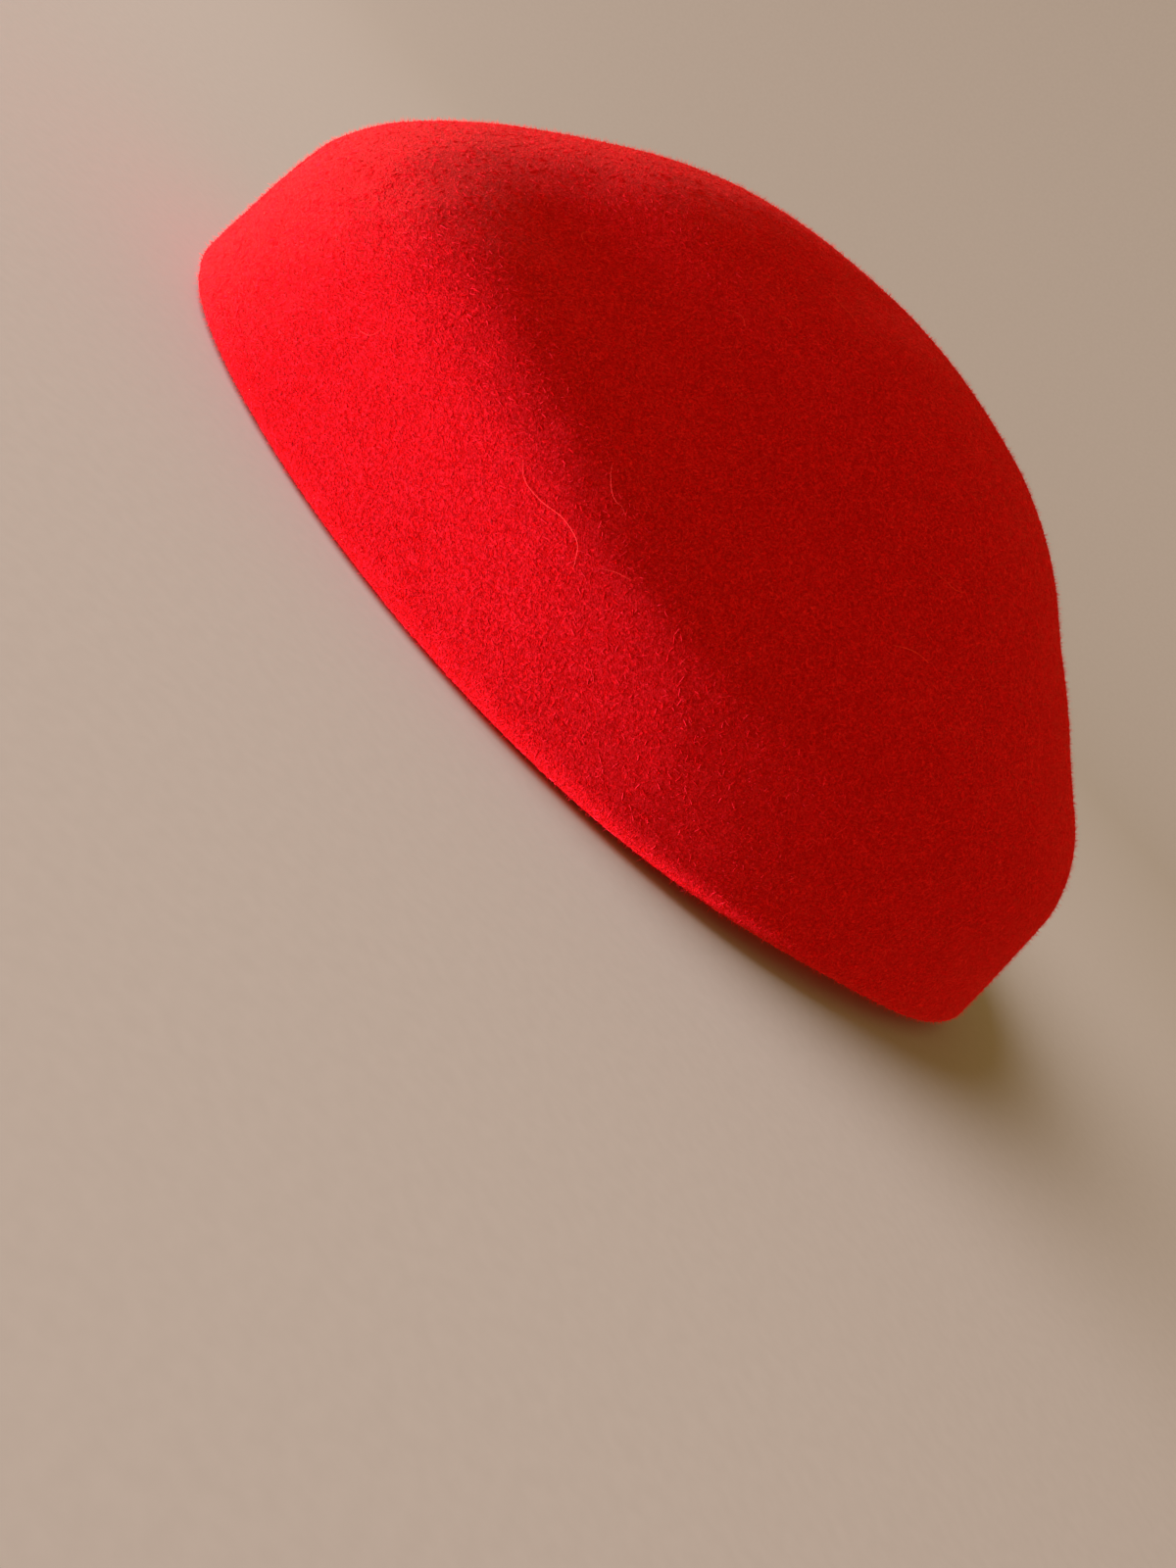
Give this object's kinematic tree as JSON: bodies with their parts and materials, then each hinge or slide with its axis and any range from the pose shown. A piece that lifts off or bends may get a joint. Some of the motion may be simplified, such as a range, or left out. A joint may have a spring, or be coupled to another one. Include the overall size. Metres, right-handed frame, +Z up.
{
  "type": "wool felt hat",
  "caption": "Wool felt hat blocked in one piece: low domed crown, soft shoulder, upright side and a turned-in underside round the head opening.",
  "frame": {"origin": "middle of the rim, on the surface that the hat rests on", "axes": "+Z up through the crown, -Y towards the front of the hat, +X towards the wearer's left"},
  "size_m": [0.2755, 0.2756, 0.113],
  "materials": {
    "felt": "matte"
  },
  "bodies": {
    "root": {"felt_body": "felt"}
  },
  "joints": []
}
